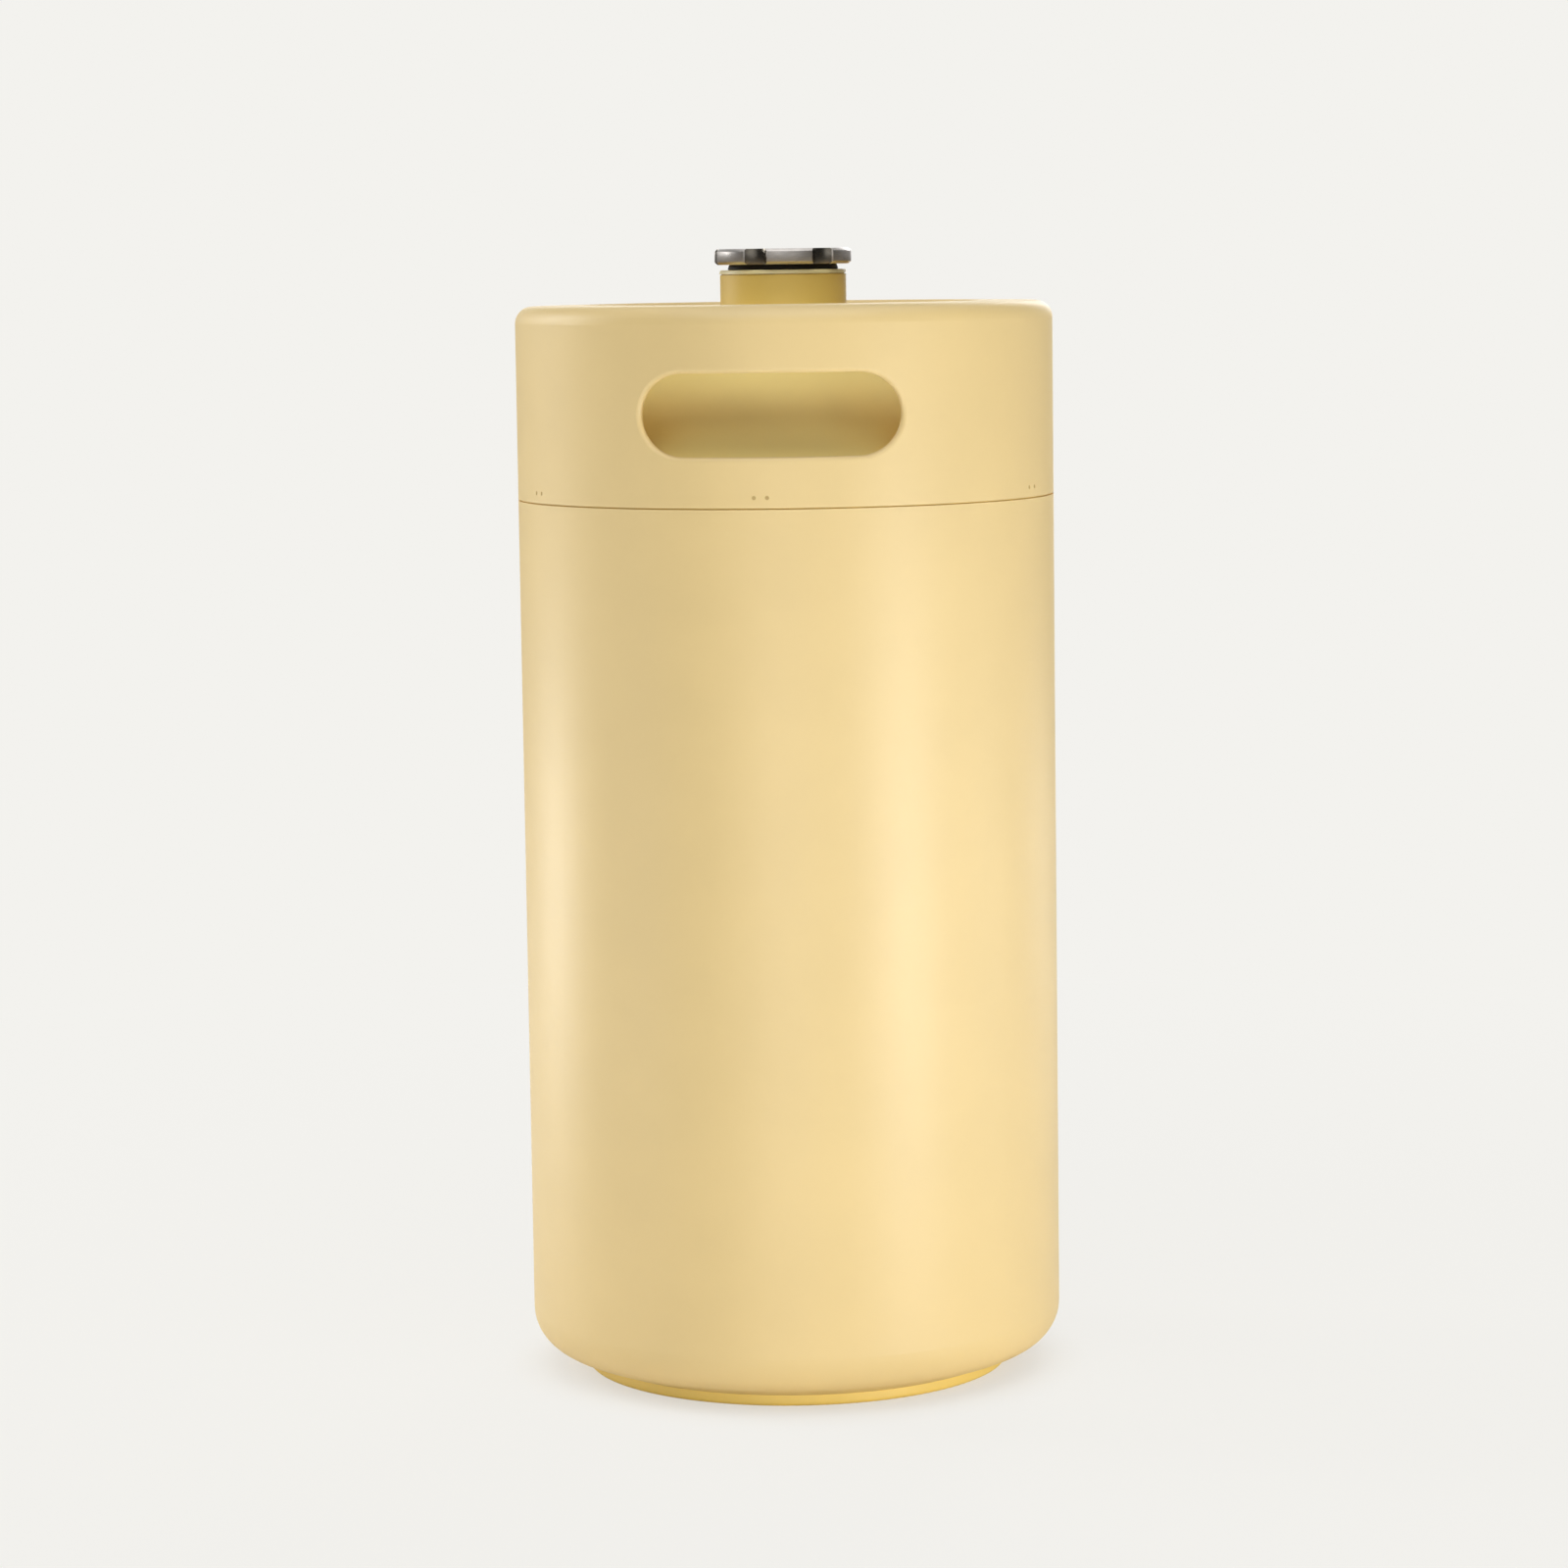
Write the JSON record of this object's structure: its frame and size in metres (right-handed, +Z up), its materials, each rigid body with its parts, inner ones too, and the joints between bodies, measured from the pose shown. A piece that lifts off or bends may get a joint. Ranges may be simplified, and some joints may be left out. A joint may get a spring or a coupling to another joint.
{
  "type": "mini keg",
  "caption": "Double-walled mini keg for beer, with a carrying collar, hand slots front and back, a narrow neck and a lobed screw cap on a rubber gasket.",
  "frame": {"origin": "middle of the foot's resting plane, under the keg's axis", "axes": "+Z up along the keg's axis, -Y out of the front hand slot, +X to the right of the front"},
  "size_m": [0.162, 0.162, 0.3404],
  "materials": {
    "gold_coat": "satin metallic gold powder coat on steel",
    "liner_steel": "drawn and welded stainless steel, bare",
    "solder": "dull grey solder",
    "cap_steel": "turned and satin brushed stainless steel",
    "gasket_rubber": "matt black"
  },
  "bodies": {
    "keg": {"barrel_shell": "gold_coat", "base_pan": "gold_coat", "base_cover": "gold_coat", "vacuum_seal_bead": "solder", "getter_capsule": "liner_steel", "getter_strap": "liner_steel", "liner_base": "liner_steel", "liner_tube": "liner_steel", "liner_shoulder": "liner_steel", "shoulder_shell": "gold_coat", "neck_sleeve": "gold_coat", "mouth_ring": "gold_coat", "handle_collar": "gold_coat", "spot_welds": "gold_coat"},
    "seal": {"cap_gasket": "gasket_rubber"},
    "cap": {"screw_cap": "cap_steel"}
  },
  "joints": [
    {"name": "cap_rise", "type": "slide", "parent": "keg", "child": "seal", "axis": [0, 0, 1], "range_m": [0, 0.018]},
    {"name": "cap_spin", "type": "hinge", "parent": "seal", "child": "cap", "pos_m": [0, 0, 0.3357], "axis": [0, 0, 1], "range_deg": [0, 2160]}
  ],
  "couplings": [
    {"joint": "cap_rise", "follows": "cap_spin", "m_per_rad": 0.00047746}
  ]
}
